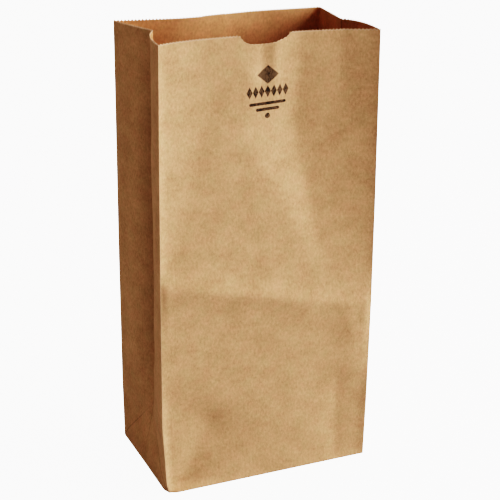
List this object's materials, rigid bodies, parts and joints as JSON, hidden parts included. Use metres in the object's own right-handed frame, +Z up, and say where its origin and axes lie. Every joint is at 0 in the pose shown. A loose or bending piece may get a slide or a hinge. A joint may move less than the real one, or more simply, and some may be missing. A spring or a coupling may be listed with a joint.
{
  "type": "brown paper lunch bag",
  "caption": "Tall folded kraft paper bag with a flat block bottom, tucked side gussets, a pinked open mouth and a thumb notch, for carrying food.",
  "frame": {"origin": "middle of the underside, on the surface that the bag stands on", "axes": "+Z up from the block bottom to the mouth; +X across the front panel, to the right as seen from the front; -Y out of the front panel, which has the thumb notch"},
  "size_m": [0.1996, 0.1243, 0.4064],
  "materials": {
    "kraft_paper": "matte uncoated brown kraft, fine upright grain, faint cloudy mottle"
  },
  "bodies": {
    "root": {"paper_bag": "kraft_paper"}
  },
  "joints": []
}
